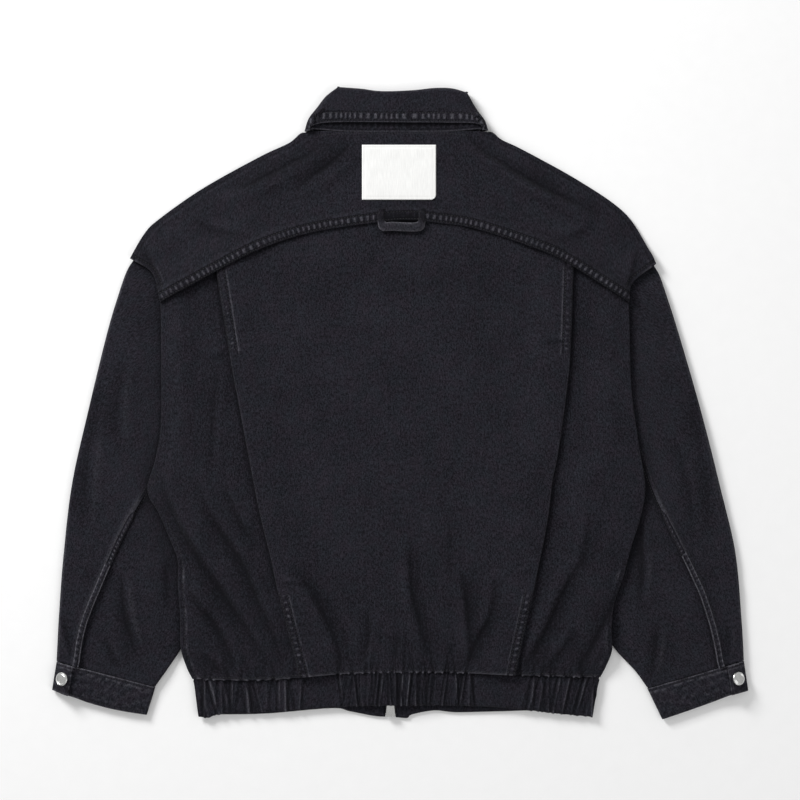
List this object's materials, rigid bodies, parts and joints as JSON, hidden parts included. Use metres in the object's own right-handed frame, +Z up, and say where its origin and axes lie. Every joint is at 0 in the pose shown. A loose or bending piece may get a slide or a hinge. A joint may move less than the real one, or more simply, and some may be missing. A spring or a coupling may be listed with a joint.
{
  "type": "denim zip jacket laid flat, back up",
  "caption": "Black washed denim zip jacket laid flat on its front: arched yoke, back tucks, turned-down collar, snap cuffs and a gathered elastic hem.",
  "frame": {"origin": "on the floor, under the middle of the laid-out jacket", "axes": "+X to the wearer's right, +Y towards the collar, +Z up out of the back panel"},
  "size_m": [0.7675, 0.697, 0.0164],
  "materials": {
    "denim": "washed black cotton denim, matt",
    "label": "bare woven off-white label",
    "zip_tape": "black woven zip tape",
    "steel": "bright nickel-plated trim"
  },
  "bodies": {
    "jacket": {"back_panel": "denim", "back_yoke": "denim", "front_left": "denim", "front_right": "denim", "top_sleeve_left": "denim", "top_sleeve_right": "denim", "under_sleeve_left": "denim", "under_sleeve_right": "denim", "placket_left": "denim", "placket_right": "denim", "cuff_left": "denim", "cuff_right": "denim", "collar_stand": "denim", "collar_fall": "denim", "hem_band_back": "denim", "hem_band_left": "denim", "hem_band_right": "denim", "hanger_loop": "denim", "back_label": "label", "zip_tape_left": "zip_tape", "zip_tape_right": "zip_tape", "zip_chain": "zip_tape", "snap_left": "steel", "snap_right": "steel", "zip_slider_lower": "steel", "zip_slider_upper": "steel"},
    "lower_pull": {"zip_slider_lower_pull": "steel"},
    "upper_pull": {"zip_slider_upper_pull": "steel"}
  },
  "joints": [
    {"name": "lower_pull_swing", "type": "hinge", "parent": "jacket", "child": "lower_pull", "pos_m": [-0.0105, -0.3392, 0.0014], "axis": [-1, 0, 0], "range_deg": [0, 180]},
    {"name": "upper_pull_swing", "type": "hinge", "parent": "jacket", "child": "upper_pull", "pos_m": [-0.0105, 0.219, 0.0026], "axis": [1, 0, 0], "range_deg": [0, 180]}
  ]
}
